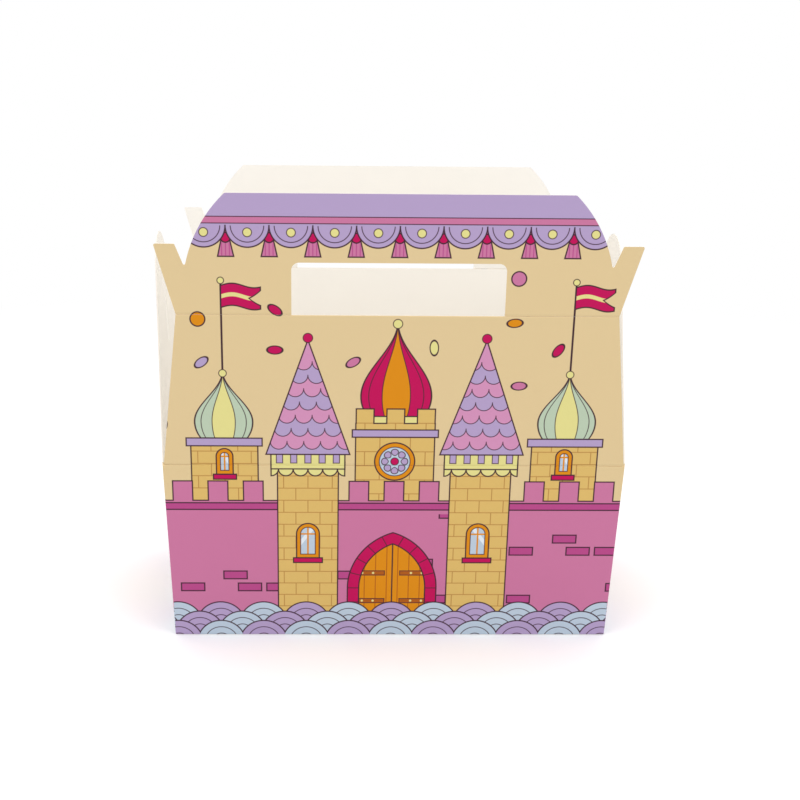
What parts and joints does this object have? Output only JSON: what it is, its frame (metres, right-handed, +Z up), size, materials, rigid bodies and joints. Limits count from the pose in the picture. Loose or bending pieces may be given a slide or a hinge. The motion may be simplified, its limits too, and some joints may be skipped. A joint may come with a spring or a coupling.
{
  "type": "cardboard castle carton",
  "caption": "Open gable-top party carton of folded board printed as a castle, with hinged roof panels, hand-slot handles with hooked ears, and slit side flaps.",
  "frame": {"origin": "middle of the base, on the surface that the carton stands on", "axes": "+Z up, the printed front faces -Y, +X to the right as seen from the front"},
  "size_m": [0.1967, 0.1106, 0.1888],
  "materials": {
    "wall_print": "printed board, satin, uncoated cream inside",
    "sky_print": "printed board, satin, uncoated cream inside"
  },
  "bodies": {
    "carton": {"carton_body": "wall_print"},
    "front_roof": {"front_roof_panel": "sky_print"},
    "front_handle": {"front_handle_panel": "sky_print"},
    "back_roof": {"back_roof_panel": "sky_print"},
    "back_handle": {"back_handle_panel": "sky_print"},
    "left_flap": {"left_side_flap": "sky_print"},
    "right_flap": {"right_side_flap": "sky_print"}
  },
  "joints": [
    {"name": "front_roof_crease", "type": "hinge", "parent": "carton", "child": "front_roof", "pos_m": [0, -0.04975, 0.0779], "axis": [-1, 0, 0], "range_deg": [-85, 54]},
    {"name": "back_roof_crease", "type": "hinge", "parent": "carton", "child": "back_roof", "pos_m": [0, 0.04975, 0.0779], "axis": [1, 0, 0], "range_deg": [-85, 54]},
    {"name": "front_handle_crease", "type": "hinge", "parent": "front_roof", "child": "front_handle", "pos_m": [0, -0.05307, 0.14131], "axis": [1, 0, 0], "range_deg": [-20, 51.6]},
    {"name": "back_handle_crease", "type": "hinge", "parent": "back_roof", "child": "back_handle", "pos_m": [0, 0.05307, 0.14131], "axis": [-1, 0, 0], "range_deg": [-20, 51.6]},
    {"name": "left_flap_crease", "type": "hinge", "parent": "carton", "child": "left_flap", "pos_m": [-0.09475, 0, 0.0779], "axis": [0, 1, 0], "range_deg": [-85, 13.3]},
    {"name": "right_flap_crease", "type": "hinge", "parent": "carton", "child": "right_flap", "pos_m": [0.09475, 0, 0.0779], "axis": [0, -1, 0], "range_deg": [-85, 10.5]}
  ]
}
